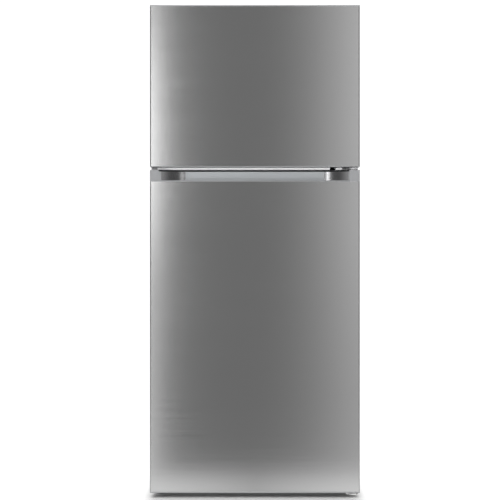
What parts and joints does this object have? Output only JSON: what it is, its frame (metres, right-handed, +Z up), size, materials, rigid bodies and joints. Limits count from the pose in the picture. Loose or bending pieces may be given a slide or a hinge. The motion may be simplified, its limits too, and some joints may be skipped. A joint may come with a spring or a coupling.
{
  "type": "top freezer refrigerator",
  "caption": "Upright refrigerator with a freezer compartment on top, two flat stainless doors hinged on the right and a full-width recessed handle.",
  "frame": {"origin": "floor level under the centre of the overall width and depth", "axes": "+X to the right and +Y to the back as seen from the front, +Z up"},
  "size_m": [0.7, 0.72, 1.642],
  "materials": {
    "stainless": "satin",
    "grey_paint": "satin",
    "galvanised": "matte",
    "foam": "matte",
    "white_liner": "gloss",
    "rail_steel": "satin",
    "dark_metal": "satin",
    "zinc_steel": "satin",
    "grey_plastic": "matte",
    "cap_plastic": "matte",
    "silver_trim": "satin",
    "dark_plastic": "matte",
    "gasket_rubber": "matte",
    "clear_bin": "gloss",
    "shelf_glass": "gloss",
    "white_plastic": "satin",
    "coated_wire": "satin",
    "coil_aluminium": "satin",
    "black_enamel": "satin",
    "mount_rubber": "matte",
    "copper_tube": "satin"
  },
  "bodies": {
    "cabinet": {"cabinet_shell": "grey_paint", "back_panel": "galvanised", "base_pan": "galvanised", "rear_cover": "galvanised", "cabinet_foam": "foam", "freezer_liner": "white_liner", "fridge_liner": "white_liner", "evaporator_cover": "white_liner", "air_duct": "white_liner", "control_housing": "white_liner", "mullion_rail": "rail_steel", "middle_hinge": "dark_metal", "top_hinge": "zinc_steel", "bottom_hinge": "zinc_steel", "cabinet_screws": "zinc_steel", "mullion_hole_cap": "grey_plastic", "top_hinge_cover": "grey_plastic", "fan_motor": "dark_plastic", "cord_gland": "dark_plastic", "lamp_cover": "clear_bin", "lower_shelf_glass": "shelf_glass", "upper_shelf_glass": "shelf_glass", "crisper_cover": "shelf_glass", "lower_shelf_trim": "white_plastic", "upper_shelf_trim": "white_plastic", "drip_tray": "white_plastic", "freezer_shelf": "coated_wire", "evaporator_coil": "coil_aluminium", "compressor": "black_enamel", "compressor_mounts": "mount_rubber", "refrigerant_lines": "copper_tube"},
    "freezer_door": {"freezer_door_skin": "stainless", "freezer_door_top_cap": "grey_plastic", "freezer_door_bottom_cap": "grey_plastic", "freezer_door_foam": "foam", "freezer_door_liner": "white_liner", "freezer_door_gasket": "gasket_rubber"},
    "fridge_door": {"fridge_door_skin": "stainless", "handle_trim": "silver_trim", "handle_cap_left": "cap_plastic", "handle_cap_right": "cap_plastic", "fridge_door_top_cap": "dark_plastic", "fridge_door_bottom_cap": "grey_plastic", "fridge_door_foam": "foam", "fridge_door_liner": "white_liner", "fridge_door_gasket": "gasket_rubber"},
    "freezer_bin_lower": {"freezer_bin_lower": "clear_bin"},
    "freezer_bin_upper": {"freezer_bin_upper": "clear_bin"},
    "fridge_bin_lower": {"fridge_bin_lower": "clear_bin"},
    "fridge_bin_middle": {"fridge_bin_middle": "clear_bin"},
    "fridge_bin_upper": {"fridge_bin_upper": "clear_bin"},
    "crisper_left": {"crisper_left": "clear_bin"},
    "crisper_right": {"crisper_right": "clear_bin"},
    "thermostat_knob": {"thermostat_knob": "white_plastic"},
    "switch_plunger": {"switch_plunger": "white_plastic"},
    "evaporator_fan": {"evaporator_fan": "dark_plastic"},
    "rear_roller_left": {"rear_roller_left": "dark_plastic"},
    "rear_roller_right": {"rear_roller_right": "dark_plastic"},
    "levelling_foot_left": {"levelling_foot_left": "dark_plastic"},
    "levelling_foot_right": {"levelling_foot_right": "dark_plastic"}
  },
  "joints": [
    {"name": "freezer_door_hinge", "type": "hinge", "parent": "cabinet", "child": "freezer_door", "pos_m": [0.33, -0.338, 1.3725], "axis": [0, 0, 1], "range_deg": [0, 110]},
    {"name": "fridge_door_hinge", "type": "hinge", "parent": "cabinet", "child": "fridge_door", "pos_m": [0.33, -0.338, 0.554], "axis": [0, 0, 1], "range_deg": [0, 110]},
    {"name": "freezer_bin_lower_lift", "type": "slide", "parent": "freezer_door", "child": "freezer_bin_lower", "axis": [0, 0, 1], "range_m": [0, 0.03]},
    {"name": "freezer_bin_upper_lift", "type": "slide", "parent": "freezer_door", "child": "freezer_bin_upper", "axis": [0, 0, 1], "range_m": [0, 0.03]},
    {"name": "fridge_bin_lower_lift", "type": "slide", "parent": "fridge_door", "child": "fridge_bin_lower", "axis": [0, 0, 1], "range_m": [0, 0.03]},
    {"name": "fridge_bin_middle_lift", "type": "slide", "parent": "fridge_door", "child": "fridge_bin_middle", "axis": [0, 0, 1], "range_m": [0, 0.03]},
    {"name": "fridge_bin_upper_lift", "type": "slide", "parent": "fridge_door", "child": "fridge_bin_upper", "axis": [0, 0, 1], "range_m": [0, 0.03]},
    {"name": "crisper_left_slide", "type": "slide", "parent": "cabinet", "child": "crisper_left", "axis": [0, -1, 0], "range_m": [0, 0.2]},
    {"name": "crisper_right_slide", "type": "slide", "parent": "cabinet", "child": "crisper_right", "axis": [0, -1, 0], "range_m": [0, 0.2]},
    {"name": "thermostat_turn", "type": "hinge", "parent": "cabinet", "child": "thermostat_knob", "pos_m": [-0.075, -0.165, 1.025], "axis": [0, 0, 1], "range_deg": [0, 270]},
    {"name": "switch_press", "type": "slide", "parent": "cabinet", "child": "switch_plunger", "axis": [0, -1, 0], "range_m": [0, 0.006]},
    {"name": "fan_spin", "type": "hinge", "parent": "cabinet", "child": "evaporator_fan", "pos_m": [0, 0.235, 1.475], "axis": [0, 1, 0], "continuous": true},
    {"name": "rear_roller_left_roll", "type": "hinge", "parent": "cabinet", "child": "rear_roller_left", "pos_m": [-0.29, 0.31, 0.014], "axis": [1, 0, 0], "continuous": true},
    {"name": "rear_roller_right_roll", "type": "hinge", "parent": "cabinet", "child": "rear_roller_right", "pos_m": [0.29, 0.31, 0.014], "axis": [1, 0, 0], "continuous": true},
    {"name": "levelling_foot_left_screw", "type": "slide", "parent": "cabinet", "child": "levelling_foot_left", "axis": [0, 0, -1], "range_m": [0, 0.012]},
    {"name": "levelling_foot_right_screw", "type": "slide", "parent": "cabinet", "child": "levelling_foot_right", "axis": [0, 0, -1], "range_m": [0, 0.012]}
  ],
  "couplings": [
    {"joint": "crisper_left_slide", "follows": "fridge_door_hinge", "m_per_rad": 0.104},
    {"joint": "crisper_right_slide", "follows": "fridge_door_hinge", "m_per_rad": 0.104},
    {"joint": "switch_press", "follows": "fridge_door_hinge", "m_per_rad": 0.003}
  ]
}
